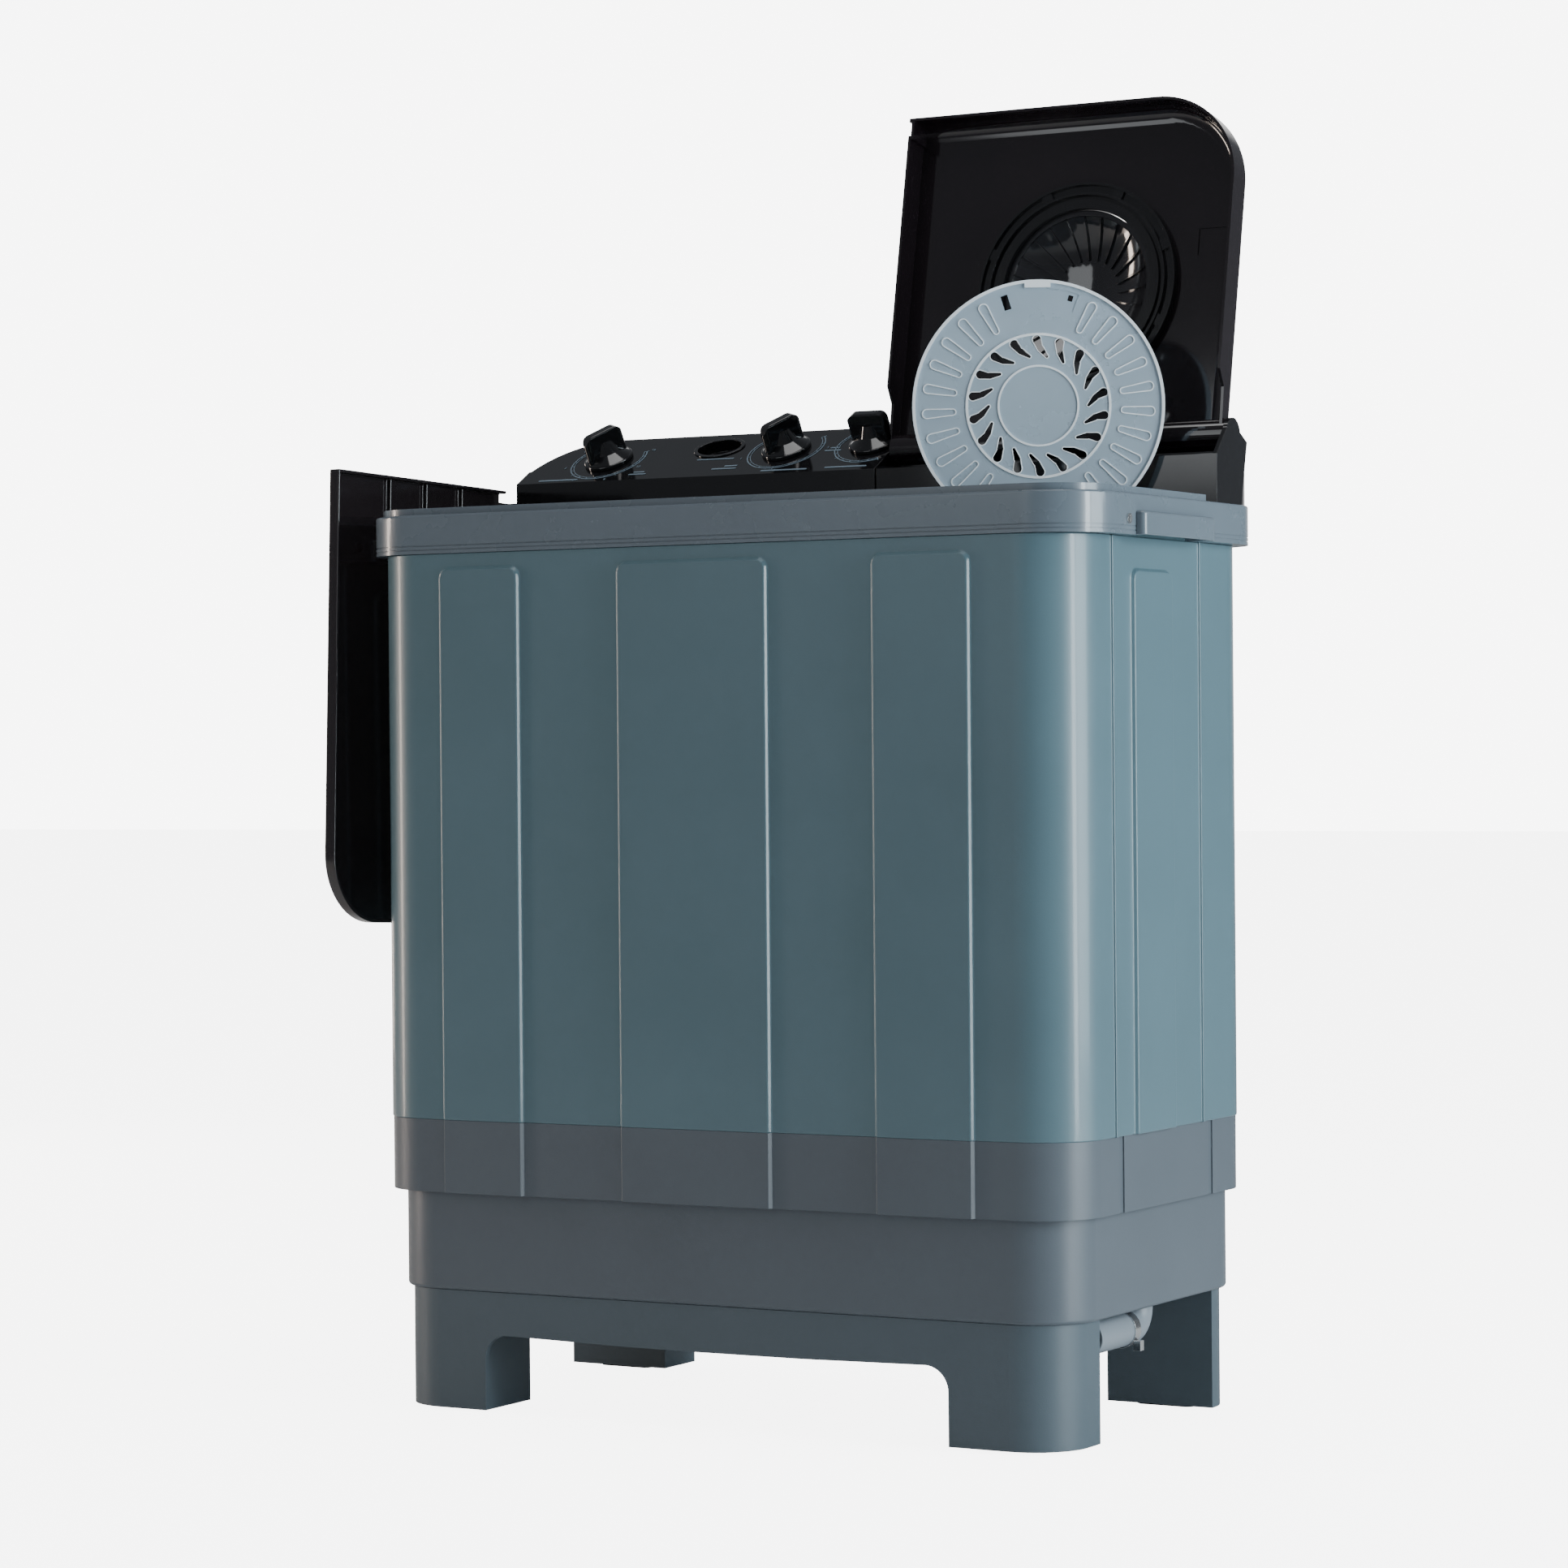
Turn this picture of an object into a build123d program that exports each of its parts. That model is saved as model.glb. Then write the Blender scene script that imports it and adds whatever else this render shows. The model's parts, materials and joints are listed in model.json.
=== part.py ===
from build123d import *
import os
from math import cos, radians, sin

# Twin-tub washing machine, in mm. X runs to the right, Y to the back and Z up from the floor.
# The parts are laid out from the collar's left front corner on the floor, and moved at the end so
# that the origin is the middle of the bottom of the whole machine.

# Outline of the collar, the widest part of the body
WIDTH = 840
DEPTH = 430
CORNER_R = 70

# Levels
PAD_T = 3
TRAY_Z = 123.5
TRAY_TOP_Z = 232
SKIRT_Z = 224
CABINET_Z = 298
COLLAR_Z = 874
DECK_Z = 904
BAND_Z = 914
LIP_Z = 921
WALL = 3

# Side insets from the collar outline
CABINET_IN = 16.7
SKIRT_IN = 18.9
TRAY_IN = 29.3
LEG_IN = 38
BODY_FRONT_Y = 1
BODY_BACK_Y = 424
TRAY_FRONT_Y = 10
TRAY_BACK_Y = 420
LEG_FRONT_Y = 12
LEG_BACK_Y = 418
LEG_D = 83

# Raised front panels: middle, width
FRONT_PANELS = [(159, 98), (409, 174), (664, 108)]
FRONT_PANEL_TOP_Z = 860
PANEL_RISE = 4

# Wash tub opening
WASH_X0 = 30
WASH_X1 = 430
WASH_Y0 = 30
WASH_Y1 = 290
WASH_R = 50
WASH_FLOOR_Z = 424
PULSATOR_X = 230
PULSATOR_Y = 160
DRAIN_X = 380
DRAIN_Y = 240
MOTOR_X = 400
MOTOR_Y = 150

# Spin dryer
SPIN_X = 649
SPIN_Y = 170
SPIN_OPENING_R = 132
SPIN_TUB_R = 141
BASKET_R = 130
SPIN_FLOOR_Z = 484

# Control panel
FACIA_Y = 308
FACIA_Z = 963
RIDGE_Y = 394
RIDGE_Z = 1013
HOUSING_Z = 978
PANEL_BACK_Y = 428
PANEL_X0 = 4
PANEL_X1 = 448
HOUSING_X0 = 450
HOUSING_X1 = 836
SLOPE_LENGTH = ((RIDGE_Y - FACIA_Y) ** 2 + (RIDGE_Z - FACIA_Z) ** 2) ** 0.5
SLOPE_COS = (RIDGE_Y - FACIA_Y) / SLOPE_LENGTH
SLOPE_SIN = (RIDGE_Z - FACIA_Z) / SLOPE_LENGTH

# Dials on the slope: X and distance up the slope
WASH_DIAL = (97, 49)
SELECTOR_DIAL = (316, 55)
SPIN_DIAL = (420, 60)
INLET = (228, 66)
KNOB_R = 27
GRIP_W = 48
GRIP_T = 12
GRIP_TOP = 36

# Spin lid
HINGE_Y = 349
HINGE_Z = 984
BARREL_R = 16
LID_X0 = 450
LID_X1 = 829
LID_LENGTH = 353
LID_DEPTH = 33
LID_BACK = 5
LID_LEAN = 11
WINDOW_X = 649
WINDOW_S = 163

# Safety disc, standing at the front of the open lid
DISC_AT = (668, 249, 1014)
DISC_TURN = 26
DISC_R = 126.5

# Wash lid, hung on the left side
WASH_LID_L = 470
WASH_LID_W = 300
WASH_LID_YAW = 4.8

# Drain outlet under the tray
OUTLET_X = 780
OUTLET_Y = 222
OUTLET_Z = 101
OUTLET_END_Y = 112


def block(x0, x1, y0, y1, z0, z1):
    """Box between two corners."""
    middle = Pos((x0 + x1) / 2, (y0 + y1) / 2, (z0 + z1) / 2)
    return middle * Box(x1 - x0, y1 - y0, z1 - z0)


def rounded_block(x0, x1, y0, y1, z0, z1, radius):
    """Box with its four upright edges rounded."""
    face = RectangleRounded(x1 - x0, y1 - y0, radius)
    return Pos((x0 + x1) / 2, (y0 + y1) / 2, z0) * extrude(face, z1 - z0)


def cylinder_z(x, y, z0, z1, radius):
    """Upright cylinder."""
    return Pos(x, y, (z0 + z1) / 2) * Cylinder(radius, z1 - z0)


def cylinder_x(x0, x1, y, z, radius):
    """Cylinder along X."""
    return Pos((x0 + x1) / 2, y, z) * Rot(0, 90, 0) * Cylinder(radius, x1 - x0)


def cylinder_y(x, y0, y1, z, radius):
    """Cylinder along Y."""
    return Pos(x, (y0 + y1) / 2, z) * Rot(90, 0, 0) * Cylinder(radius, y1 - y0)


def tube_z(x, y, z0, z1, outer_r, inner_r):
    """Upright tube."""
    return cylinder_z(x, y, z0, z1, outer_r) - cylinder_z(x, y, z0 - 1, z1 + 1, inner_r)


def outline_block(side_in, front_y, back_y, z0, z1, radius):
    """Rounded block inset by the same amount on the left and right."""
    return rounded_block(side_in, WIDTH - side_in, front_y, back_y, z0, z1, radius)


def wall_ring(side_in, front_y, back_y, z0, z1, radius, wall):
    """Upright wall that follows a rounded outline."""
    outer = outline_block(side_in, front_y, back_y, z0, z1, radius)
    inner = outline_block(
        side_in + wall, front_y + wall, back_y - wall, z0 - 1, z1 + 1, radius - wall
    )
    return outer - inner


def profile_x(points, x0, x1):
    """Prism along X from a closed list of (Y, Z) points."""
    face = make_face(Polyline([(x0, y, z) for y, z in points], close=True))
    return extrude(face, amount=x1 - x0, dir=(1, 0, 0))


def on_slope(x, up, height=0):
    """Location on the panel's slope, with Z standing square to it."""
    plane = Plane(
        origin=(0, FACIA_Y, FACIA_Z), x_dir=(1, 0, 0), z_dir=(0, -SLOPE_SIN, SLOPE_COS)
    )
    return plane.location * Pos(x, up, height)


def quarter_arc(start, end, centre):
    """Quarter circle from start to end round a centre."""
    middle = Vector(*centre)
    spoke = (Vector(*start) + Vector(*end)) * 0.5 - middle
    radius = (Vector(*start) - middle).length
    return ThreePointArc(start, middle + spoke.normalized() * radius, end)


def raised_panel(middle, width, top_z, side):
    """Raised panel with bevelled edges and rounded top corners, from below the skirt upwards."""
    height = top_z - SKIRT_Z + 60
    face = RectangleRounded(width, height, 12)
    pad = extrude(face, PANEL_RISE + 1, taper=32)
    middle_z = top_z - height / 2
    if side == "front":
        return Pos(middle, BODY_FRONT_Y + 1, middle_z) * Rot(90, 0, 0) * pad
    side_x = WIDTH - CABINET_IN - 1
    right = Pos(side_x, middle, middle_z) * Rot(0, 90, 0) * Rot(0, 0, 90) * pad
    if side == "right":
        return right
    return mirror(right, Plane.YZ.offset(WIDTH / 2))


def leg_frame(face_y, back_y, left_x, right_x, apron_end_z, apron_mid_z, rounded_y):
    """Two hollow legs joined by an apron; rounded_y picks the outer face that is rounded."""
    frame = outline_block(LEG_IN, LEG_FRONT_Y, LEG_BACK_Y, PAD_T, TRAY_Z, 56)
    frame &= block(0, WIDTH, face_y, back_y, 0, TRAY_Z)
    fillet_r = 25
    line_left = Line((left_x, 0, -20), (left_x, 0, apron_end_z - fillet_r))
    low_z = apron_end_z - fillet_r
    turn_left = quarter_arc(
        (left_x, 0, low_z), (left_x + fillet_r, 0, apron_end_z), (left_x + fillet_r, 0, low_z)
    )
    arch = ThreePointArc(
        (left_x + fillet_r, 0, apron_end_z),
        ((left_x + right_x) / 2, 0, apron_mid_z),
        (right_x - fillet_r, 0, apron_end_z),
    )
    turn_right = quarter_arc(
        (right_x - fillet_r, 0, apron_end_z), (right_x, 0, low_z), (right_x - fillet_r, 0, low_z)
    )
    line_right = Line((right_x, 0, apron_end_z - fillet_r), (right_x, 0, -20))
    base = Line((right_x, 0, -20), (left_x, 0, -20))
    edges = [line_left, turn_left, arch, turn_right, line_right, base]
    gap = extrude(make_face(edges), amount=DEPTH, dir=(0, 1, 0))
    if rounded_y == "front":
        behind_apron = block(left_x, right_x, face_y + 6, back_y + 1, 0, TRAY_Z + 1)
    else:
        behind_apron = block(left_x, right_x, face_y - 1, back_y - 6, 0, TRAY_Z + 1)
    frame -= gap
    frame -= behind_apron
    pockets = outline_block(LEG_IN + 5, LEG_FRONT_Y + 5, LEG_BACK_Y - 5, 9, TRAY_Z + 1, 51)
    pockets &= block(0, left_x - 5, face_y + 5, back_y - 5, 0, TRAY_Z + 1) + block(
        right_x + 5, WIDTH, face_y + 5, back_y - 5, 0, TRAY_Z + 1
    )
    return frame - pockets


def front_leg_frame():
    return leg_frame(LEG_FRONT_Y, LEG_FRONT_Y + LEG_D, 151, 681, 80, 77, "front")


def rear_leg_frame():
    return leg_frame(LEG_BACK_Y - 63, LEG_BACK_Y, 155, 685, 46, 43, "back")


def rubber_feet():
    """Four rubber pads under the legs."""
    pads = []
    for x in (96, 742):
        for y in (56, 386):
            pads.append(rounded_block(x - 32, x + 32, y - 20, y + 20, 0, PAD_T, 10))
    return Compound(pads)


def base_tray():
    """Open tray that carries the machinery."""
    outer = outline_block(TRAY_IN, TRAY_FRONT_Y, TRAY_BACK_Y, TRAY_Z, TRAY_TOP_Z, 62)
    outer = fillet(outer.faces().sort_by(Axis.Z)[0].edges(), 4)
    inner = outline_block(
        TRAY_IN + WALL, TRAY_FRONT_Y + WALL, TRAY_BACK_Y - WALL, TRAY_Z + 4, TRAY_TOP_Z + 1, 59
    )
    tray = outer - inner
    tray -= cylinder_z(OUTLET_X, OUTLET_Y, TRAY_Z - 1, TRAY_Z + 5, 17.2)
    for x in (200, 480):
        tray += block(x, x + 3, TRAY_FRONT_Y + WALL, TRAY_BACK_Y - WALL, TRAY_Z + 4, TRAY_Z + 14)
    return tray


def lower_skirt():
    """Band between the tray and the cabinet, with the raised panels running down it."""
    skirt = wall_ring(SKIRT_IN, BODY_FRONT_Y, BODY_BACK_Y, SKIRT_Z, CABINET_Z, 62, WALL)
    flange = outline_block(SKIRT_IN, BODY_FRONT_Y, BODY_BACK_Y, SKIRT_Z, SKIRT_Z + WALL, 62)
    flange -= outline_block(
        TRAY_IN - 0.3, TRAY_FRONT_Y - 0.3, TRAY_BACK_Y + 0.3, SKIRT_Z - 1, SKIRT_Z + 5, 62
    )
    skirt += flange
    skirt += wall_ring(20, 4.3, 420.7, CABINET_Z - 20, CABINET_Z + 10, 61, WALL)
    slab = block(-10, WIDTH + 10, -10, 3, SKIRT_Z, CABINET_Z)
    for middle, width in FRONT_PANELS:
        skirt += raised_panel(middle, width, FRONT_PANEL_TOP_Z, "front") & slab
    for y in (107, 312):
        for side_x in (SKIRT_IN, WIDTH - SKIRT_IN):
            skirt -= block(side_x - 2, side_x + 2, y - 6, y + 6, SKIRT_Z - 1, CABINET_Z + 1)
    return skirt


def cabinet_shell():
    """Four-sided body shell with raised panels, side ridges and an opening in the back."""
    shell = wall_ring(CABINET_IN, BODY_FRONT_Y, BODY_BACK_Y, CABINET_Z, COLLAR_Z - 0.2, 64, WALL)
    shell += wall_ring(19.7, 4, 421, COLLAR_Z - 12, 892, 61, WALL)
    slab = block(-10, WIDTH + 10, -10, 3, CABINET_Z, 870)
    for middle, width in FRONT_PANELS:
        shell += raised_panel(middle, width, FRONT_PANEL_TOP_Z, "front") & slab
    side_slabs = block(0, CABINET_IN + 1, 100, 260, CABINET_Z, 870)
    side_slabs += block(WIDTH - CABINET_IN - 1, WIDTH, 100, 260, CABINET_Z, 870)
    for side in ("left", "right"):
        shell += raised_panel(177, 92, 844, side) & side_slabs
    for y in (91, 291):
        for side_x in (CABINET_IN, WIDTH - CABINET_IN):
            shell += block(side_x - 2, side_x + 2, y - 3, y + 3, CABINET_Z, COLLAR_Z - 0.2)
    shell -= block(90, 750, 418, 430, 350, 830)
    return shell


def service_cover():
    """Ribbed sheet cover over the back opening."""
    cover = rounded_block(72, 768, 330, 850, 0, 2, 14)
    cover = Pos(0, BODY_BACK_Y + 2, 0) * Rot(90, 0, 0) * cover
    for row in range(12):
        z = 370 + row * 30
        cover -= block(560, 700, BODY_BACK_Y - 1, BODY_BACK_Y + 3, z, z + 8)
    return cover


def cover_screws():
    """Pan-head screws of the two back covers."""
    screws = []
    for x in (82, 420, 758):
        for z in (340, 840):
            screws.append(pan_screw_back(x, BODY_BACK_Y + 2, z))
    for x in (100, 420 - 20, 500, 740):
        screws.append(pan_screw_back(x, PANEL_BACK_Y + 2, 945))
    return Compound(screws)


def pan_screw_back(x, face_y, z):
    """Screw head with a cross slot that stands on a face looking to the back."""
    head = cylinder_y(x, face_y, face_y + 2.2, z, 4)
    head = fillet(head.faces().sort_by(Axis.Y)[-1].edges(), 1)
    head -= block(x - 2.4, x + 2.4, face_y + 1.2, face_y + 3, z - 0.4, z + 0.4)
    head -= block(x - 0.4, x + 0.4, face_y + 1.2, face_y + 3, z - 2.4, z + 2.4)
    return head


def top_collar():
    """Top frame: outer band, deck with two openings, raised lip and the panel's platform."""
    collar = outline_block(0, 0, DEPTH, COLLAR_Z, BAND_Z, CORNER_R)
    collar = fillet(collar.faces().sort_by(Axis.Z)[-1].edges(), 2.5)
    collar -= outline_block(WALL, WALL, DEPTH - WALL, COLLAR_Z + 3, DECK_Z - 3, CORNER_R - WALL)
    collar -= outline_block(19.4, 3.7, 421.3, COLLAR_Z - 1, COLLAR_Z + 10, 61)
    lip = wall_ring(8, 8, DEPTH - 8, DECK_Z - 2, LIP_Z, CORNER_R - 8, WALL)
    lip &= block(0, WIDTH, 0, 290, 0, LIP_Z)
    well = outline_block(11, 11, DEPTH - 11, DECK_Z, BAND_Z + 1, CORNER_R - 11)
    well &= block(0, WIDTH, 0, FACIA_Y - 3, 0, BAND_Z + 1)
    collar -= well
    collar += lip
    collar -= rounded_block(WASH_X0, WASH_X1, WASH_Y0, WASH_Y1, 890, 950, WASH_R)
    collar -= cylinder_z(SPIN_X, SPIN_Y, 890, 950, SPIN_OPENING_R)
    for x0, x1 in ((30, 430), (470, 810)):
        collar -= block(x0, x1, 322, 412, DECK_Z - 5, BAND_Z + 1)
    for z in (878, 882):
        groove = wall_ring(-1, -1, DEPTH + 1, z - 0.6, z + 0.6, CORNER_R + 1, 1.8)
        collar -= groove
    for side_x in (WIDTH - 1, 1):
        collar -= block(side_x - 20, side_x + 20, 118, 266, COLLAR_Z - 1, 893)
    collar += block(816.5, 819.5, 116, 268, 893, DECK_Z - 1) + block(
        20.5, 23.5, 116, 268, 893, DECK_Z - 1
    )
    return collar


def carry_handle(side):
    """Hood over the finger pocket in the collar's side, open underneath."""
    hood = block(WIDTH, WIDTH + 10, 110, 274, COLLAR_Z, 897)
    outer_edges = hood.edges().filter_by(Axis.Z).sort_by(Axis.X)[-2:]
    hood = fillet(outer_edges, 6)
    hood = fillet(hood.faces().sort_by(Axis.Z)[-1].edges().sort_by(Axis.X)[-1], 3)
    hood -= block(WIDTH - 1, WIDTH + 7, 118, 266, COLLAR_Z - 1, 893)
    if side == "right":
        return hood
    return mirror(hood, Plane.YZ.offset(WIDTH / 2))


def collar_screws():
    """Round screw heads beside the handles, in shallow cups."""
    screws = []
    for x0, x1 in ((WIDTH, WIDTH + 2), (-2, 0)):
        screws.append(cylinder_x(x0, x1, 93, 889, 5) - block(-3, WIDTH + 3, 92.5, 93.5, 886, 892))
    return Compound(screws)


def panel_envelope(x0, x1, inset, rear_corner):
    """Space of the control panel: a low rear block and a wedge with the sloped face."""
    low_points = [
        (FACIA_Y + inset, BAND_Z),
        (PANEL_BACK_Y - inset, BAND_Z),
        (PANEL_BACK_Y - inset, HOUSING_Z - inset),
        (FACIA_Y + inset, HOUSING_Z - inset),
    ]
    drop = inset / SLOPE_COS
    rise = SLOPE_SIN / SLOPE_COS
    front_top = FACIA_Z + inset * rise - drop
    ridge_top = FACIA_Z + (RIDGE_Y - inset - FACIA_Y) * rise - drop
    wedge_points = [
        (FACIA_Y + inset, BAND_Z),
        (RIDGE_Y - inset, BAND_Z),
        (RIDGE_Y - inset, ridge_top),
        (FACIA_Y + inset, front_top),
    ]
    low = profile_x(low_points, x0, x1)
    wedge = profile_x(wedge_points, x0, x1)
    far_right = x1 + 200
    low &= rounded_block(x0, far_right, -300, PANEL_BACK_Y - inset, 0, 1200, 66 - inset)
    wedge &= rounded_block(x0, far_right, -300, RIDGE_Y - inset, 0, 1200, 80 - inset)
    slope_cut_points = [
        (FACIA_Y - 60, FACIA_Z - 60 * rise - drop),
        (FACIA_Y + 200, FACIA_Z + 200 * rise - drop),
        (FACIA_Y + 200, 1200),
        (FACIA_Y - 60, 1200),
    ]
    low -= profile_x(slope_cut_points, x0 - 1, x1 + 1)
    if rear_corner == "left":
        return low + wedge
    return low


def control_panel():
    """Black fascia moulding with a sloped face, left of the spin lid."""
    panel = panel_envelope(PANEL_X0, PANEL_X1, 0, "left")
    panel -= panel_envelope(PANEL_X0 + 3, PANEL_X1 - 3, 3, "left")
    panel -= block(30, 440, 320, 415, BAND_Z - 1, BAND_Z + 0.5)
    for x, up in (WASH_DIAL, SELECTOR_DIAL, SPIN_DIAL):
        panel -= on_slope(x, up) * Cylinder(6.5, 20)
    panel -= on_slope(*INLET) * extrude(Ellipse(28, 20), 10, both=True)
    panel -= block(100, 440, PANEL_BACK_Y - 4, PANEL_BACK_Y + 1, 928, 962)
    panel -= cylinder_x(PANEL_X1 - 4, PANEL_X1 + 1, HINGE_Y, HINGE_Z, 4.05)
    return panel


def hinge_housing():
    """Low right part of the panel with the trough for the lid's barrel and the right end cap."""
    low = panel_envelope(-HOUSING_X1, -HOUSING_X0, 0, "right")
    low = mirror(low, Plane.YZ)
    hollow = panel_envelope(-HOUSING_X1 + 4.5, -HOUSING_X0 - 3, 3, "right")
    hollow = mirror(hollow, Plane.YZ)
    trough_skin = cylinder_x(HOUSING_X0, HOUSING_X1, HINGE_Y, HINGE_Z, 20.5)
    low -= hollow - trough_skin
    end_x = HOUSING_X1 - 4.5
    low -= cylinder_x(HOUSING_X0 - 1, end_x, HINGE_Y, HINGE_Z, BARREL_R + 1.5)
    low -= block(HOUSING_X0 - 1, end_x, FACIA_Y - 1, HINGE_Y, 963, 1000)
    cap_points = [
        (FACIA_Y, BAND_Z),
        (PANEL_BACK_Y - 60, BAND_Z),
        (383, 978),
        (366, 987),
        (341, 998.5),
        (FACIA_Y, FACIA_Z),
    ]
    cap = profile_x(cap_points, end_x, HOUSING_X1)
    cap += cylinder_x(end_x, HOUSING_X1, HINGE_Y, HINGE_Z, BARREL_R + 1)
    housing = low + cap
    housing -= block(460, 740, PANEL_BACK_Y - 4, PANEL_BACK_Y + 1, 928, 962)
    housing -= cylinder_x(end_x - 1, HOUSING_X1 - 1.5, HINGE_Y, HINGE_Z, 4.05)
    return housing


def panel_back_cover():
    """Cover plate on the back of the panel."""
    plate = rounded_block(90, 750, 922, 968, 0, 2, 6)
    return Pos(0, PANEL_BACK_Y + 2, 0) * Rot(90, 0, 0) * plate


def dial_knob(dial, turn):
    """Knob with a flared skirt, a waist and a tall grip bar, and a stem into its switch."""
    skirt = Cylinder(KNOB_R, 4, align=(Align.CENTER, Align.CENTER, Align.MIN))
    skirt = fillet(skirt.faces().sort_by(Axis.Z)[-1].edges(), 1.5)
    low_flare = Cone(25, 14, 7, align=(Align.CENTER, Align.CENTER, Align.MIN))
    high_flare = Cone(14, 8.5, 12, align=(Align.CENTER, Align.CENTER, Align.MIN))
    flare = Pos(0, 0, 4) * low_flare + Pos(0, 0, 11) * high_flare
    grip = extrude(SlotOverall(GRIP_W, GRIP_T), GRIP_TOP)
    grip = fillet(grip.faces().sort_by(Axis.Z)[-1].edges(), 2.5)
    side_view = Rot(90, 0, 0) * extrude(RectangleRounded(GRIP_W, 60, 13), 20, both=True)
    grip &= Pos(0, 0, GRIP_TOP - 30) * side_view
    stem = Pos(0, 0, -20) * Cylinder(3, 20, align=(Align.CENTER, Align.CENTER, Align.MIN))
    knob = skirt + flare + Rot(0, 0, turn) * grip + stem
    return on_slope(dial[0], dial[1], 0.6) * knob


def water_inlet_cup():
    """Oval cup let into the slope, where the tap hose pours in."""
    rim = extrude(Ellipse(30, 22), 1.5)
    bowl = extrude(Ellipse(27.7, 19.7), -14)
    hollow = extrude(Ellipse(25.7, 17.7), -12) + extrude(Ellipse(25.7, 17.7), 2)
    spout = Pos(0, -4, -20) * Cylinder(8, 14)
    bore = Pos(0, -4, -18) * Cylinder(6, 30)
    return on_slope(*INLET) * (rim + bowl + spout - hollow - bore)


def slope_switch(dial, size, depth):
    """Switch body square to the slope, with a bore for the knob's stem and a threaded neck."""
    body = Pos(0, 0, -4.2 - depth / 2) * Box(size, size, depth)
    body = fillet(body.edges().filter_by(Axis.Z), 4)
    neck = Pos(0, 0, -2.2) * Cylinder(6, 4.4)
    bore = Pos(0, 0, -12) * Cylinder(3.05, 26)
    return on_slope(*dial) * (body + neck - bore)


def wash_timer():
    return slope_switch(WASH_DIAL, 44, 30)


def selector_switch():
    return slope_switch(SELECTOR_DIAL, 34, 24)


def spin_timer():
    return slope_switch(SPIN_DIAL, 34, 22)


def lid_frame(shape):
    """Move a shape from the lid's own axes (X, outwards, along the lid) to the open lid."""
    return Pos(0, HINGE_Y, HINGE_Z) * Rot(-LID_LEAN, 0, 0) * shape


def lid_outline(inset, y0, y1, s0):
    """Prism of the lid's outline: right far corner rounded, left far corner nearly sharp."""
    x0 = LID_X0 + inset
    x1 = LID_X1 - inset
    top = LID_LENGTH - inset
    corner_r = 92 - inset
    edges = [
        Line((x0, y0, s0), (x0, y0, top)),
        Line((x0, y0, top), (x1 - corner_r, y0, top)),
        quarter_arc(
            (x1 - corner_r, y0, top), (x1, y0, top - corner_r), (x1 - corner_r, y0, top - corner_r)
        ),
        Line((x1, y0, top - corner_r), (x1, y0, s0)),
        Line((x1, y0, s0), (x0, y0, s0)),
    ]
    return extrude(make_face(edges), amount=y1 - y0, dir=(0, 1, 0))


def spin_lid():
    """Hollow lid with a deep rim, a round window hole and the hinge barrel at its foot."""
    lid = lid_outline(0, LID_BACK - LID_DEPTH, LID_BACK, 0)
    outer_edges = lid.faces().sort_by(Axis.Y)[-1].edges().filter_by(
        lambda edge: edge.center().Z > 30
    )
    lid = fillet(outer_edges, 5)
    hollow = lid_outline(3, LID_BACK - LID_DEPTH - 1, LID_BACK - 3, -1)
    far_edges = hollow.faces().sort_by(Axis.Y)[-1].edges().filter_by(
        lambda edge: edge.center().Z > 300
    )
    lid -= fillet(far_edges, 16)
    rim_cut_points = [(-60, -5), (-60, 62), (-28.1, 62), (-15.5, 46), (-13, -5)]
    lid -= profile_x(rim_cut_points, LID_X0 - 1, LID_X1 + 1)
    lid -= block(LID_X0 - 1, LID_X0 + 3.5, -40, 40, 334, 349)
    lid += block(LID_X0 + 3, LID_X0 + 6, LID_BACK - LID_DEPTH, LID_BACK - 1, 330, 350)
    window = Pos(WINDOW_X, 0, WINDOW_S) * Rot(90, 0, 0)
    lid -= window * Cylinder(104, 40)
    latch_pocket = block(781, 811, 0, 3.2, 191, 219)
    lid -= latch_pocket
    barrel = cylinder_x(452, 831, 0, 0, BARREL_R)
    lid -= block(LID_X0 - 1, 452, -40, 40, -20, 18)
    lid += barrel
    lid -= cylinder_x(451, 466, 0, 0, 4) + cylinder_x(817, 832, 0, 0, 4)
    return lid_frame(lid)


def spin_lid_pins():
    """Two hinge pins, fast in the barrel and turning in the end walls."""
    pins = [cylinder_x(446, 466, 0, 0, 4), cylinder_x(817, 834, 0, 0, 4)]
    return lid_frame(Compound(pins))


def window_ring():
    """Stepped bezel round the lid's window, with bayonet tabs."""
    ring = Cylinder(112, 5) - Cylinder(93, 6)
    collar = Pos(0, 0, 4) * (Cylinder(103.8, 8) - Cylinder(93, 9))
    step = Pos(0, 0, -1.5) * (Cylinder(94, 8) - Cylinder(84, 9))
    outer_rim = Pos(0, 0, -4) * (Cylinder(112, 4) - Cylinder(109.5, 5))
    inner_rim = Pos(0, 0, -4) * (Cylinder(101, 5) - Cylinder(98.5, 6))
    ring = ring + collar + step + outer_rim + inner_rim
    for index in range(8):
        tab = Pos(105, 0, -3.5) * Box(10, 12, 3)
        ring += Rot(0, 0, 22.5 + index * 45) * tab
    place = Pos(WINDOW_X, LID_BACK - 5.6, WINDOW_S) * Rot(-90, 0, 0)
    return lid_frame(place * ring)


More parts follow.
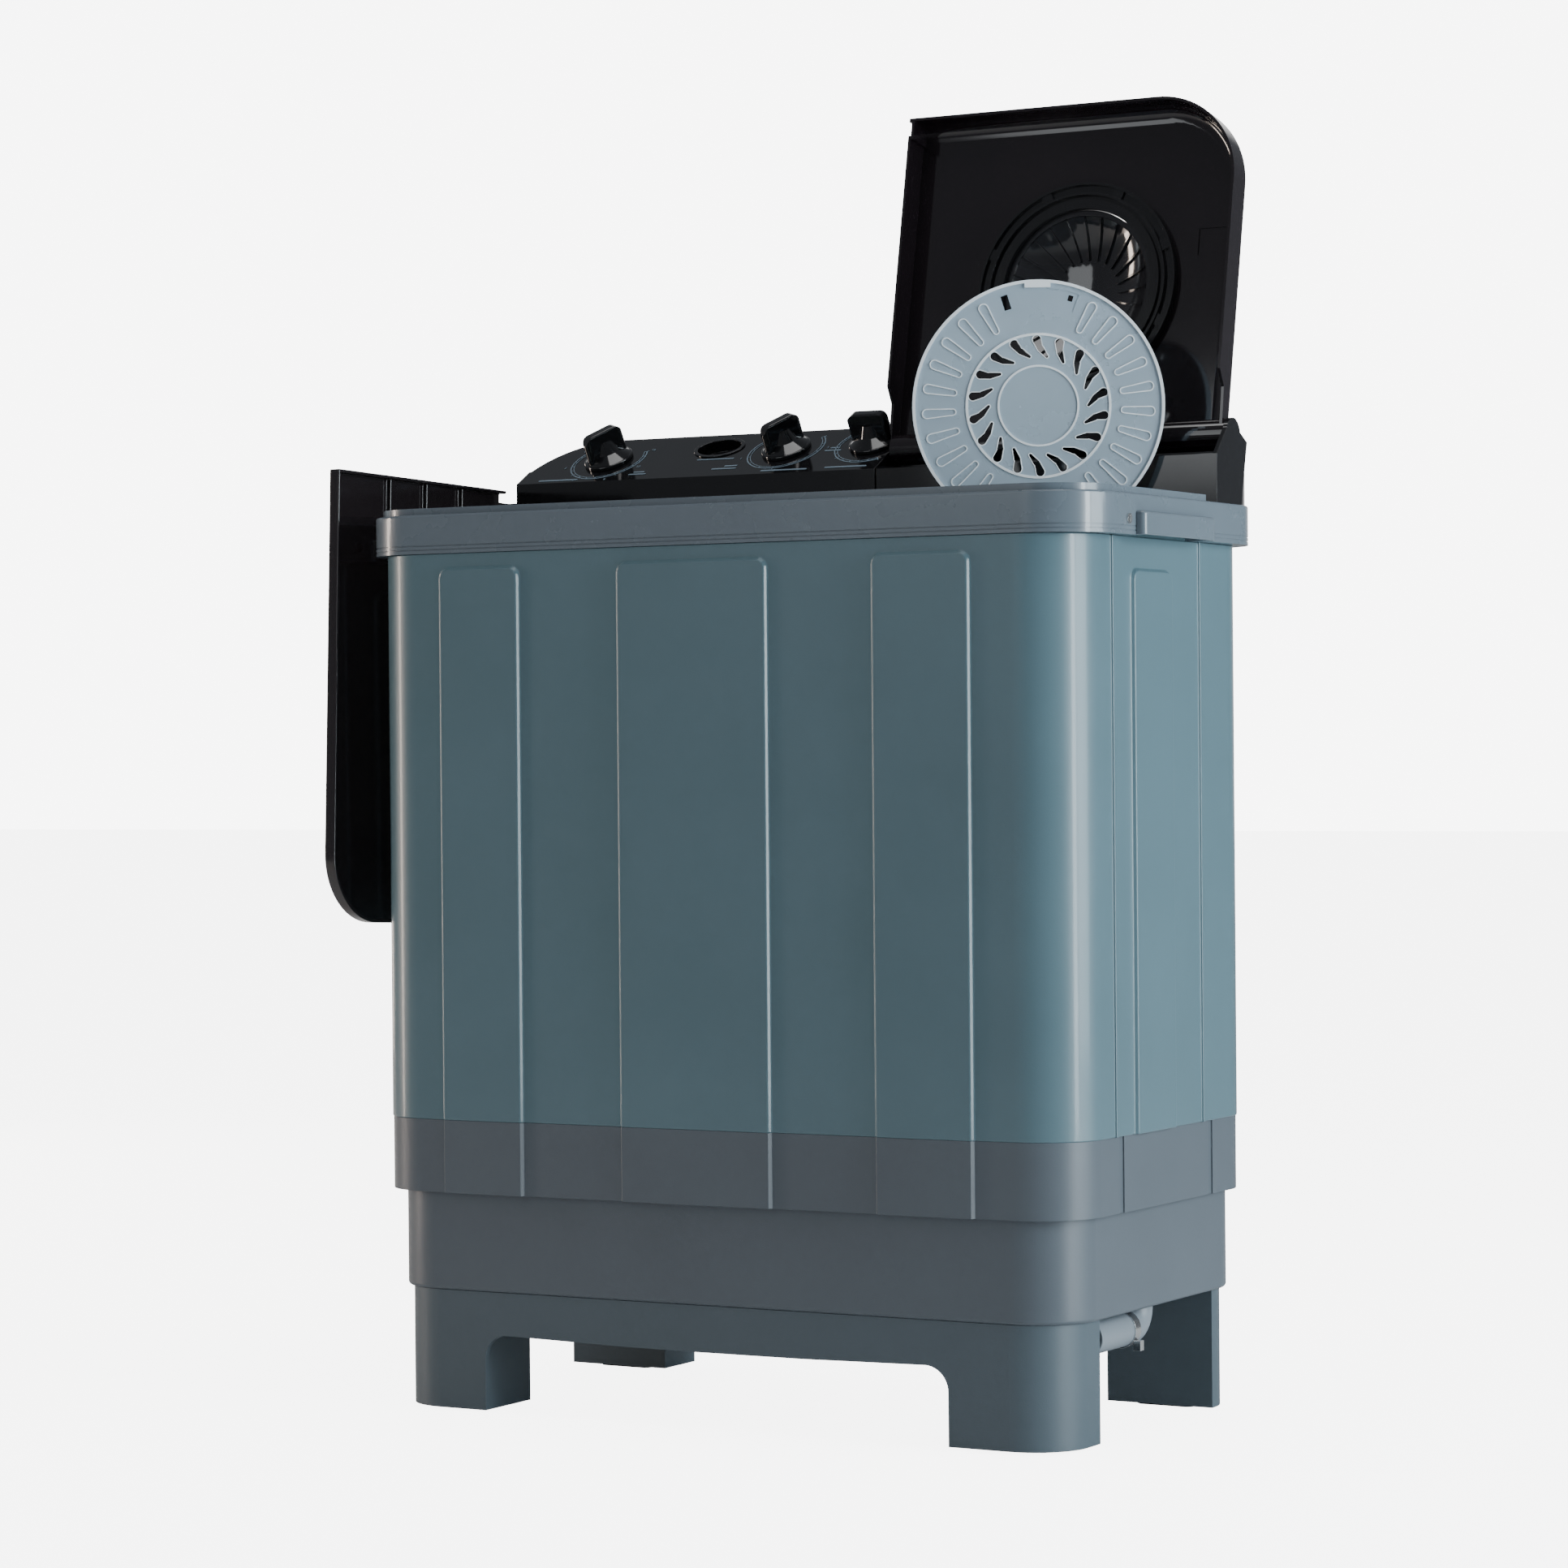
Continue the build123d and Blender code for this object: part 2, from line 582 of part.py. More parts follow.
def window_dome():
    """Ribbed dish of clear plastic that closes the window, bulging outwards."""
    ball_r = 130
    rim_r = 83.7
    sag = ball_r - (ball_r**2 - rim_r**2) ** 0.5
    outer = Pos(0, 0, sag - ball_r) * Sphere(ball_r)
    inner = Pos(0, 0, sag - ball_r - 2.5) * Sphere(ball_r)
    dome = (outer - inner) & Pos(0, 0, 40) * Cylinder(rim_r, 80)
    rim = Cylinder(rim_r, 4, align=(Align.CENTER, Align.CENTER, Align.MIN)) - Cylinder(78, 10)
    dome += rim
    for index in range(24):
        rib = Pos(56, 0, sag - 16) * Box(40, 2, 60)
        rib &= Pos(0, 0, sag - ball_r - 1.5) * Sphere(ball_r) - Pos(
            0, 0, sag - ball_r - 5.5
        ) * Sphere(ball_r)
        dome += Rot(0, 0, index * 15) * rib
    place = Pos(WINDOW_X, LID_BACK - 5.5, WINDOW_S) * Rot(-90, 0, 0)
    return lid_frame(place * dome)


def teardrop(inner_at, length, wide_r, narrow_r, depth):
    """Tapered slot with round ends along X."""
    ends = Pos(inner_at, 0) * Circle(narrow_r) + Pos(inner_at + length, 0) * Circle(wide_r)
    return extrude(make_hull(ends.edges()), depth, both=True)


def swirl_slot():
    """Comma-shaped slot, wide at its outer end, with a tail that bends inwards."""
    tail = teardrop(0, 10, 3, 1.3, 5)
    head = Pos(10, 0, 0) * Rot(0, 0, -16) * teardrop(0, 10, 4.2, 3, 5)
    return tail + head


def safety_disc():
    """Thin disc with a raised rim, outlined radial cells, swirl slots and a handle recess."""
    plate = Cylinder(DISC_R, 3)
    rim = Cylinder(DISC_R, 7) - Cylinder(DISC_R - 3, 8)
    middle_ring = Cylinder(73, 5) - Cylinder(70.5, 6)
    hub_ring = Cylinder(41, 5) - Cylinder(39, 6)
    disc = plate + rim + middle_ring + hub_ring
    for side in (-1, 1):
        for step in range(10):
            angle = 90 + side * (29 + step * 12.9)
            cell = teardrop(86, 26, 5.2, 3.6, 0.9) - teardrop(86, 26, 4.1, 2.5, 2)
            disc += Rot(0, 0, angle) * Pos(0, 0, 1.5) * cell
    slot = Pos(50, 0, 0) * Rot(0, 0, 48) * swirl_slot()
    for index in range(18):
        disc -= Rot(0, 0, index * 20) * slot
    wedge = extrude(make_face(Polyline((0, 0), (56, 150), (-56, 150), close=True)), 5)
    handle = Pos(0, 0, 2.5) * (Cylinder(118, 3) - Cylinder(99, 4)) & wedge
    disc -= handle
    disc -= Rot(0, 0, 90 + 17) * Pos(108.5, 0, 0) * Box(15, 7, 10)
    disc -= Rot(0, 0, 90 - 17) * Pos(112, 0, 0) * Box(6, 5, 10)
    disc += Pos(0, 121, 2) * Box(26, 5, 3)
    stand = Pos(*DISC_AT) * Rot(0, 0, DISC_TURN) * Rot(90, 0, 0)
    return stand * disc


def wash_lid_outline(inset, x0, x1):
    """Prism of the wash lid's outline with its low front corner rounded."""
    low = -WASH_LID_L / 2 + inset
    high = WASH_LID_L / 2 - inset
    front = -WASH_LID_W / 2 + inset
    back = WASH_LID_W / 2 - inset
    radius = 72 - inset
    corner = (x0, front + radius, low + radius)
    edges = [
        Line((x0, front, high), (x0, front, low + radius)),
        quarter_arc((x0, front, low + radius), (x0, front + radius, low), corner),
        Line((x0, front + radius, low), (x0, back, low)),
        Line((x0, back, low), (x0, back, high)),
        Line((x0, back, high), (x0, front, high)),
    ]
    return extrude(make_face(edges), amount=x1 - x0, dir=(1, 0, 0))


def wash_lid():
    """Shallow lid hung on the left side by two hooks over the collar's lip."""
    half_w = WASH_LID_W / 2
    half_l = WASH_LID_L / 2
    lid = wash_lid_outline(0, 0, 13) - wash_lid_outline(3, 3, 14)
    lid -= block(-1, 20, half_w - 20, half_w + 1, half_l - 12, half_l + 1)
    for y in (-60, 0, 60):
        lid += block(2, 8, y - 1, y + 1, half_l - 80, half_l - 2)
    lid = Pos(-26.2, 161, 726) * Rot(-2.2, 0, 0) * Rot(0, 0, -WASH_LID_YAW) * lid
    hooks = []
    for y, plate_x in ((165, -23.5), (262, -15.5)):
        arm = block(plate_x, 14.5, y - 15, y + 15, 922.3, 926)
        tip = block(11.6, 14.5, y - 15, y + 15, 913, 926)
        hooks.append(arm + tip)
    for hook in hooks:
        lid += hook
    return lid


def wash_tub():
    """Drafted tub that hangs from the deck, with a floor bore and a drain."""
    height = DECK_Z - 3 - (WASH_FLOOR_Z - 4)
    middle_x = (WASH_X0 + WASH_X1) / 2
    middle_y = (WASH_Y0 + WASH_Y1) / 2
    long_side = WASH_X1 - WASH_X0
    short_side = WASH_Y1 - WASH_Y0
    top = Pos(middle_x, middle_y, DECK_Z - 3)
    outer = top * extrude(
        RectangleRounded(long_side + 6, short_side + 6, WASH_R + 3), -height, taper=1
    )
    inner = top * extrude(RectangleRounded(long_side, short_side, WASH_R), -height + 4, taper=1)
    flange = rounded_block(24, 437, 14, 304, DECK_Z - 7, DECK_Z - 3, WASH_R)
    tub = outer + flange - inner
    tub -= cylinder_z(PULSATOR_X, PULSATOR_Y, 410, 430, 22.3)
    tub -= cylinder_z(DRAIN_X, DRAIN_Y, 410, 430, 16)
    for x in (170, 290, 340):
        tub += cylinder_z(x, 100, 417, 421, 9)
        tub += cylinder_z(x, 218, 417, 421, 9)
    return tub


def pulsator():
    """Dished plate with four raised vanes that stirs the wash."""
    plate = cylinder_z(PULSATOR_X, PULSATOR_Y, 428, 434, 112)
    plate = fillet(plate.edges().filter_by(GeomType.CIRCLE), 2)
    cone = Pos(PULSATOR_X, PULSATOR_Y, 434) * Cone(
        40, 18, 14, align=(Align.CENTER, Align.CENTER, Align.MIN)
    )
    wheel = plate + cone
    for index in range(4):
        vane = Pos(62, 0, 0) * Rot(0, 0, 18) * extrude(SlotOverall(84, 13), 14, taper=12)
        wheel += Pos(PULSATOR_X, PULSATOR_Y, 433) * Rot(0, 0, index * 90) * vane
    return wheel - cylinder_z(PULSATOR_X, PULSATOR_Y, 420, 443, 9)


def pulsator_screw():
    """Screw cap over the top of the shaft."""
    cap = cylinder_z(PULSATOR_X, PULSATOR_Y, 448, 452, 9)
    return cap - block(PULSATOR_X - 6, PULSATOR_X + 6, PULSATOR_Y - 1, PULSATOR_Y + 1, 450.5, 453)


def wash_shaft():
    return cylinder_z(PULSATOR_X, PULSATOR_Y, 308, 443, 9)


def wash_gearbox():
    """Gear case under the tub with the shaft's bearing tube through the tub floor."""
    case = cylinder_z(PULSATOR_X, PULSATOR_Y, 348, 414, 58)
    case = fillet(case.faces().sort_by(Axis.Z)[0].edges(), 6)
    tube = cylinder_z(PULSATOR_X, PULSATOR_Y, 414, 427, 22)
    return case + tube - cylinder_z(PULSATOR_X, PULSATOR_Y, 300, 430, 9.06)


def pulley(x, y, outer_r, groove_r, bore_r):
    """Pulley wheel with one belt groove."""
    wheel = cylinder_z(x, y, 318, 338, outer_r)
    wheel -= tube_z(x, y, 323.6, 332.4, outer_r + 1, groove_r)
    return wheel - cylinder_z(x, y, 310, 345, bore_r)


def wash_pulley():
    wheel = pulley(PULSATOR_X, PULSATOR_Y, 70, 64, 9)
    for index in range(5):
        hole = Rot(0, 0, index * 72) * Pos(38, 0, 0) * Cylinder(13, 40)
        wheel -= Pos(PULSATOR_X, PULSATOR_Y, 328) * hole
    return wheel


def motor_pulley():
    return pulley(MOTOR_X, MOTOR_Y, 24, 18, 6)


def drive_belt():
    """Belt round both pulleys."""
    def loop(large_r, small_r):
        circles = Pos(PULSATOR_X, PULSATOR_Y) * Circle(large_r)
        circles += Pos(MOTOR_X, MOTOR_Y) * Circle(small_r)
        return make_hull(circles.edges())
    belt = loop(68.5, 22.5) - loop(64.35, 18.35)
    return Pos(0, 0, 324) * extrude(belt, 8)


def wash_motor():
    """Motor that hangs from the plate."""
    case = cylinder_z(MOTOR_X, MOTOR_Y, 345, 410, 50)
    case = fillet(case.edges().filter_by(GeomType.CIRCLE), 5)
    for index in range(3):
        angle = radians(90 + index * 120)
        case += cylinder_z(MOTOR_X + 48 * cos(angle), MOTOR_Y + 48 * sin(angle), 404, 414, 7)
    return case - cylinder_z(MOTOR_X, MOTOR_Y, 340, 385, 6.06)


def motor_shaft():
    return cylinder_z(MOTOR_X, MOTOR_Y, 314, 384, 6)


def motor_plate():
    """Steel plate that carries the gearbox and motor under the tub."""
    plate = rounded_block(150, 460, 88, 214, 414, 417, 12)
    return plate - cylinder_z(PULSATOR_X, PULSATOR_Y, 410, 420, 22.3)


def lint_filter():
    """Net filter on the tub's back wall, which pulls out upwards."""
    frame = rounded_block(190, 270, 268, 281, 640, 860, 4)
    frame -= block(196, 264, 264, 274, 650, 850)
    for row in range(6):
        z = 676 + row * 30
        frame += block(195, 265, 268.5, 271, z, z + 3)
    return frame


def drain_cover():
    """Slotted cover over the drain in the tub's floor."""
    cover = cylinder_z(DRAIN_X, DRAIN_Y, WASH_FLOOR_Z, WASH_FLOOR_Z + 3, 22)
    for offset in (-9, -3, 3, 9):
        x = DRAIN_X + offset
        cover -= block(x - 1.2, x + 1.2, DRAIN_Y - 11, DRAIN_Y + 11, 420, 430)
    return cover


def drain_valve():
    """Valve body under the drain with a side outlet."""
    body = cylinder_z(DRAIN_X, DRAIN_Y, 345, 420, 24)
    outlet = cylinder_y(DRAIN_X, DRAIN_Y + 10, DRAIN_Y + 50, 368, 13)
    body += outlet
    body -= cylinder_z(DRAIN_X, DRAIN_Y, 352, 412, 20)
    body -= cylinder_z(DRAIN_X, DRAIN_Y, 400, 430, 13)
    body -= cylinder_y(DRAIN_X, DRAIN_Y + 5, DRAIN_Y + 51, 368, 10.5)
    return body - cylinder_z(DRAIN_X, DRAIN_Y, 330, 360, 4.06)


def drain_plunger():
    """Plunger that closes the valve's mouth, with its pull rod below."""
    head = cylinder_z(DRAIN_X, DRAIN_Y, 403, 411, 17)
    return head + cylinder_z(DRAIN_X, DRAIN_Y, 335, 403, 4)


def drain_pipe():
    """Pipe from the valve to the tray's outlet."""
    start = (DRAIN_X, DRAIN_Y + 50, 368)
    points = [
        start,
        (DRAIN_X, 345, 368),
        (OUTLET_X, 345, 300),
        (OUTLET_X, OUTLET_Y, 240),
        (OUTLET_X, OUTLET_Y, TRAY_Z + 4.5),
    ]
    path = FilletPolyline(points, radius=20)
    ring = Plane(origin=start, z_dir=(0, 1, 0)) * (Circle(13) - Circle(10.5))
    return sweep(ring, path=path)


def spin_outer_tub():
    """Fixed drum round the spin basket, with the brake lever's post under its floor."""
    tub = cylinder_z(SPIN_X, SPIN_Y, SPIN_FLOOR_Z - 4, DECK_Z - 3, SPIN_TUB_R + 3)
    tub -= cylinder_z(SPIN_X, SPIN_Y, SPIN_FLOOR_Z, DECK_Z, SPIN_TUB_R)
    tub -= cylinder_z(SPIN_X, SPIN_Y, 470, 490, 24)
    tub += cylinder_z(716, 122, 380, 481, 8)
    tub += cylinder_z(716, 122, 354, 380, 5)
    return tub


def spin_basket():
    """Perforated basket with ribs and a raised hub."""
    basket = cylinder_z(SPIN_X, SPIN_Y, 500, 875, BASKET_R)
    basket = fillet(basket.faces().sort_by(Axis.Z)[0].edges(), 10)
    basket -= cylinder_z(SPIN_X, SPIN_Y, 503, 876, BASKET_R - 3)
    rim = tube_z(SPIN_X, SPIN_Y, 866, 878, BASKET_R + 2, BASKET_R - 5)
    basket += rim
    hub = Pos(SPIN_X, SPIN_Y, 501) * Cone(
        46, 20, 60, align=(Align.CENTER, Align.CENTER, Align.MIN)
    )
    basket += hub
    for index in range(12):
        rib = Rot(0, 0, index * 30) * Pos(BASKET_R - 4.5, 0, 0) * Box(5, 8, 350)
        basket += Pos(SPIN_X, SPIN_Y, 685) * rib
    drills = []
    for column in range(12):
        for row in range(6):
            drill = Rot(0, 0, 15 + column * 30) * Pos(BASKET_R - 2, 0, 0) * Rot(0, 90, 0)
            drills.append(Pos(SPIN_X, SPIN_Y, 550 + row * 55) * drill * Cylinder(4, 14))
    basket -= drills
    return basket - cylinder_z(SPIN_X, SPIN_Y, 490, 540, 8)


def spin_shaft():
    return cylinder_z(SPIN_X, SPIN_Y, 300, 540, 8)


def shaft_seal():
    """Rubber seal in the drum's floor."""
    seal = cylinder_z(SPIN_X, SPIN_Y, 468, 494, 24)
    seal = fillet(seal.faces().sort_by(Axis.Z)[-1].edges(), 8)
    return seal - cylinder_z(SPIN_X, SPIN_Y, 460, 500, 8.08)


def brake_drum():
    """Brake drum and coupling on the spin shaft."""
    drum = cylinder_z(SPIN_X, SPIN_Y, 358, 386, 50)
    drum -= tube_z(SPIN_X, SPIN_Y, 365, 387, 44, 20)
    return drum - cylinder_z(SPIN_X, SPIN_Y, 350, 390, 8)


def brake_lever():
    """Lever with a brake pad beside the drum."""
    hub = tube_z(716, 122, 364, 378, 10, 5.06)
    arm = block(709, 715, 128, 250, 366, 376)
    pad = block(699.6, 709, 155, 185, 361, 383)
    pad -= cylinder_z(SPIN_X, SPIN_Y, 350, 390, 50.4)
    lever = hub + arm + pad
    return lever - cylinder_z(716, 122, 350, 390, 5.06)


def spin_motor():
    """Spin motor on a round base plate."""
    case = cylinder_z(SPIN_X, SPIN_Y, 213, 330, 60)
    case = fillet(case.edges().filter_by(GeomType.CIRCLE), 8)
    plate = cylinder_z(SPIN_X, SPIN_Y, 205, 213.5, 80)
    return case + plate - cylinder_z(SPIN_X, SPIN_Y, 290, 340, 8.06)


def spring_places():
    """Middles of the three springs under the motor plate."""
    return [
        (SPIN_X + 62 * cos(radians(90 + i * 120)), SPIN_Y + 62 * sin(radians(90 + i * 120)))
        for i in range(3)
    ]


def motor_springs():
    """Three coil springs under the spin motor."""
    springs = []
    for x, y in spring_places():
        path = Helix(pitch=9.2, height=46, radius=11)
        wire = Plane(origin=path @ 0, z_dir=path % 0) * Circle(1.6)
        coil = sweep(wire, path=path, is_frenet=True)
        springs.append(Pos(x, y, 152.5) * coil)
    return Compound(springs)


def spring_seats():
    """Rubber seats under and over the springs."""
    seats = []
    for x, y in spring_places():
        low = cylinder_z(x, y, TRAY_Z + 4, 150, 17)
        high = cylinder_z(x, y, 200.4, 205, 17)
        seats += [low, high]
    return Compound(seats)


def run_capacitors():
    """Two motor capacitors lying in the panel."""
    first = cylinder_x(470, 560, 395, 940, 18)
    second = cylinder_x(600, 670, 395, 937, 15)
    return Compound([first, second])


def lid_switch():
    """Small switch inside the right end of the housing that feels the spin lid."""
    body = block(770, 810, 385, 401, 925, 948)
    return body + block(776, 780, 389, 397, 948, 953)


def drain_elbow():
    """Outlet pipe under the tray: down from the floor and forward."""
    points = [
        (OUTLET_X, OUTLET_Y, TRAY_Z + 4),
        (OUTLET_X, OUTLET_Y, OUTLET_Z),
        (OUTLET_X, OUTLET_END_Y, OUTLET_Z),
    ]
    path = FilletPolyline(points, radius=20)
    ring = Plane(origin=points[0], z_dir=(0, 0, -1)) * (Circle(17) - Circle(14))
    return sweep(ring, path=path)


def hose_clamp():
    """Metal band round the outlet pipe with its screw lug."""
    band = cylinder_y(OUTLET_X, 184, 196, OUTLET_Z, 18.4)
    lug = block(OUTLET_X + 14, OUTLET_X + 22, 186, 194, OUTLET_Z - 20, OUTLET_Z - 10)
    return band + lug - cylinder_y(OUTLET_X, 180, 200, OUTLET_Z, 17)


def build_nodes():
    """Every piece of the machine by name."""
    return {
        "front_leg_frame": front_leg_frame(),
        "rear_leg_frame": rear_leg_frame(),
        "rubber_feet": rubber_feet(),
        "base_tray": base_tray(),
        "lower_skirt": lower_skirt(),
        "cabinet_shell": cabinet_shell(),
        "service_cover": service_cover(),
        "cover_screws": cover_screws(),
        "top_collar": top_collar(),
        "carry_handle_right": carry_handle("right"),
        "carry_handle_left": carry_handle("left"),
        "collar_screws": collar_screws(),
        "control_panel": control_panel(),
        "hinge_housing": hinge_housing(),
        "panel_back_cover": panel_back_cover(),
        "wash_timer_knob": dial_knob(WASH_DIAL, 60),
        "selector_knob": dial_knob(SELECTOR_DIAL, 60),
        "spin_timer_knob": dial_knob(SPIN_DIAL, 0),
        "water_inlet_cup": water_inlet_cup(),
        "wash_timer": wash_timer(),
        "selector_switch": selector_switch(),
        "spin_timer": spin_timer(),
        "run_capacitors": run_capacitors(),
        "lid_switch": lid_switch(),
        "spin_lid": spin_lid(),
        "spin_lid_pins": spin_lid_pins(),
        "window_ring": window_ring(),
        "window_dome": window_dome(),
        "safety_disc": safety_disc(),
        "wash_lid": wash_lid(),
        "wash_tub": wash_tub(),
        "pulsator": pulsator(),
        "pulsator_screw": pulsator_screw(),
        "wash_shaft": wash_shaft(),
        "wash_gearbox": wash_gearbox(),
        "wash_pulley": wash_pulley(),
        "drive_belt": drive_belt(),
        "wash_motor": wash_motor(),
        "motor_shaft": motor_shaft(),
        "motor_pulley": motor_pulley(),
        "motor_plate": motor_plate(),
        "lint_filter": lint_filter(),
        "drain_cover": drain_cover(),
        "drain_valve": drain_valve(),
        "drain_plunger": drain_plunger(),
        "drain_pipe": drain_pipe(),
        "drain_elbow": drain_elbow(),
        "hose_clamp": hose_clamp(),
        "spin_outer_tub": spin_outer_tub(),
        "spin_basket": spin_basket(),
        "spin_shaft": spin_shaft(),
        "shaft_seal": shaft_seal(),
        "brake_drum": brake_drum(),
        "brake_lever": brake_lever(),
        "spin_motor": spin_motor(),
        "motor_springs": motor_springs(),
        "spring_seats": spring_seats(),
    }


def export_nodes():
    """Move the machine so the origin is the middle of its bottom, and write each piece."""
    nodes = build_nodes()
    whole = Compound([Compound([shape]) for shape in nodes.values()]).bounding_box()
    shift = Pos(-(whole.min.X + whole.max.X) / 2, -(whole.min.Y + whole.max.Y) / 2, -whole.min.Z)
    os.makedirs("parts", exist_ok=True)
    for name, shape in nodes.items():
        export_step(shift * shape, f"parts/{name}.step")
    print("moved by", shift.position)


export_nodes()
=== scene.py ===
import json
import math

import bmesh
import bpy
from mathutils import Matrix, Vector


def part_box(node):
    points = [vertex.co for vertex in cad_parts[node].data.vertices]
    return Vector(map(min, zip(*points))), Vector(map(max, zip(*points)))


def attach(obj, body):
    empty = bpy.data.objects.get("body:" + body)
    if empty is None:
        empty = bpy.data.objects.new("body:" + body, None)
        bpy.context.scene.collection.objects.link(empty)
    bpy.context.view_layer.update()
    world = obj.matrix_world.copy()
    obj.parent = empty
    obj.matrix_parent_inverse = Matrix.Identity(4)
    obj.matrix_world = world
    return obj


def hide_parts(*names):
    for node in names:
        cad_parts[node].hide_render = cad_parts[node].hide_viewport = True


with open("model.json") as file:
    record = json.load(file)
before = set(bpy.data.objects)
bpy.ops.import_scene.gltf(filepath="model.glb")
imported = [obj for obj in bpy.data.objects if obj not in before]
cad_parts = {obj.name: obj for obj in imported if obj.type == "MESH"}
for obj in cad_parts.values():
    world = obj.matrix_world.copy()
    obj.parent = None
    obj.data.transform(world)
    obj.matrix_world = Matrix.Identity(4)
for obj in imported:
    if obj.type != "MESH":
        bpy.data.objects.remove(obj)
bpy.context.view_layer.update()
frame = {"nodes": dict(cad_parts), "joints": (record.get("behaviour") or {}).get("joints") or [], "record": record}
NODES = frame["nodes"]
JOINTS = {j["name"]: j for j in frame["joints"]}

# The panel's slope rises 50 mm over 86 mm from the top of its front face
PANEL_LOW, PANEL_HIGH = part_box("control_panel")
SLOPE_RUN = 0.086
SLOPE_RISE = 0.050
SLOPE_LENGTH = math.hypot(SLOPE_RUN, SLOPE_RISE)
SLOPE_X = Vector((1, 0, 0))
SLOPE_UP = Vector((0, SLOPE_RUN, SLOPE_RISE)) / SLOPE_LENGTH
SLOPE_OUT = Vector((0, -SLOPE_RISE, SLOPE_RUN)) / SLOPE_LENGTH
SLOPE_FOOT = Vector((0, PANEL_LOW.y, PANEL_HIGH.z - SLOPE_RISE))

# The safety disc stands turned to the right, with its swirl slots in a ring
DISC_TURN = 26
PLATE_FRONT = 0.0015
SLOTS = 18
SLOT_START = 0.050


# ---------- materials ----------

def new_material(name):
    material = bpy.data.materials.new(name)
    material.use_nodes = True
    return material, material.node_tree


def set_input(node, names, value):
    """Sets the first socket of these names that the shader has."""
    for name in names:
        if name in node.inputs:
            node.inputs[name].default_value = value
            return


def surface(name, color, rough, metal=0.0, vary=0.04, grain=0.0, grain_scale=900.0,
            coat=0.0, alpha=1.0, transmission=0.0, smudge=0.05, dust=0.0):
    """Procedural surface: base colour with faint clouding, uneven gloss and a fine grain."""
    material, tree = new_material(name)
    nodes, links = tree.nodes, tree.links
    shader = nodes["Principled BSDF"]
    coords = nodes.new("ShaderNodeTexCoord")
    cloud = nodes.new("ShaderNodeTexNoise")
    cloud.inputs["Scale"].default_value = 6.0
    cloud.inputs["Detail"].default_value = 5.0
    links.new(coords.outputs["Object"], cloud.inputs["Vector"])
    ramp = nodes.new("ShaderNodeValToRGB")
    ramp.color_ramp.elements[0].position = 0.3
    ramp.color_ramp.elements[1].position = 0.7
    ramp.color_ramp.elements[0].color = tuple(c * (1 - vary) for c in color) + (1,)
    ramp.color_ramp.elements[1].color = tuple(min(1, c * (1 + vary)) for c in color) + (1,)
    links.new(cloud.outputs["Fac"], ramp.inputs["Fac"])
    color_out = ramp.outputs["Color"]
    if dust > 0:
        color_out = add_dust(tree, coords, color_out, dust)
    links.new(color_out, shader.inputs["Base Color"])
    gloss = nodes.new("ShaderNodeTexNoise")
    gloss.inputs["Scale"].default_value = 14.0
    gloss.inputs["Detail"].default_value = 6.0
    links.new(coords.outputs["Object"], gloss.inputs["Vector"])
    spread = nodes.new("ShaderNodeMapRange")
    spread.inputs["To Min"].default_value = max(0.02, rough - smudge)
    spread.inputs["To Max"].default_value = rough + smudge
    links.new(gloss.outputs["Fac"], spread.inputs["Value"])
    links.new(spread.outputs["Result"], shader.inputs["Roughness"])
    shader.inputs["Metallic"].default_value = metal
    set_input(shader, ("Coat Weight", "Clearcoat"), coat)
    set_input(shader, ("Coat Roughness", "Clearcoat Roughness"), 0.08)
    set_input(shader, ("Transmission Weight", "Transmission"), transmission)
    shader.inputs["Alpha"].default_value = alpha
    if grain > 0:
        fine = nodes.new("ShaderNodeTexNoise")
        fine.inputs["Scale"].default_value = grain_scale
        fine.inputs["Detail"].default_value = 2.0
        links.new(coords.outputs["Object"], fine.inputs["Vector"])
        bump = nodes.new("ShaderNodeBump")
        bump.inputs["Strength"].default_value = grain
        bump.inputs["Distance"].default_value = 0.0004
        links.new(fine.outputs["Fac"], bump.inputs["Height"])
        links.new(bump.outputs["Normal"], shader.inputs["Normal"])
    return material


def add_dust(tree, coords, color_out, amount):
    """Darker patches of dust in a slow noise, for the metal inside."""
    patches = tree.nodes.new("ShaderNodeTexNoise")
    patches.inputs["Scale"].default_value = 30.0
    patches.inputs["Detail"].default_value = 8.0
    tree.links.new(coords.outputs["Object"], patches.inputs["Vector"])
    mix = tree.nodes.new("ShaderNodeMix")
    mix.data_type = "RGBA"
    mix.blend_type = "MULTIPLY"
    mix.inputs[7].default_value = (0.6, 0.58, 0.55, 1)
    level = tree.nodes.new("ShaderNodeMapRange")
    level.inputs["From Min"].default_value = 0.45
    level.inputs["From Max"].default_value = 0.75
    level.inputs["To Max"].default_value = amount
    tree.links.new(patches.outputs["Fac"], level.inputs["Value"])
    tree.links.new(level.outputs["Result"], mix.inputs[0])
    tree.links.new(color_out, mix.inputs[6])
    return mix.outputs[2]


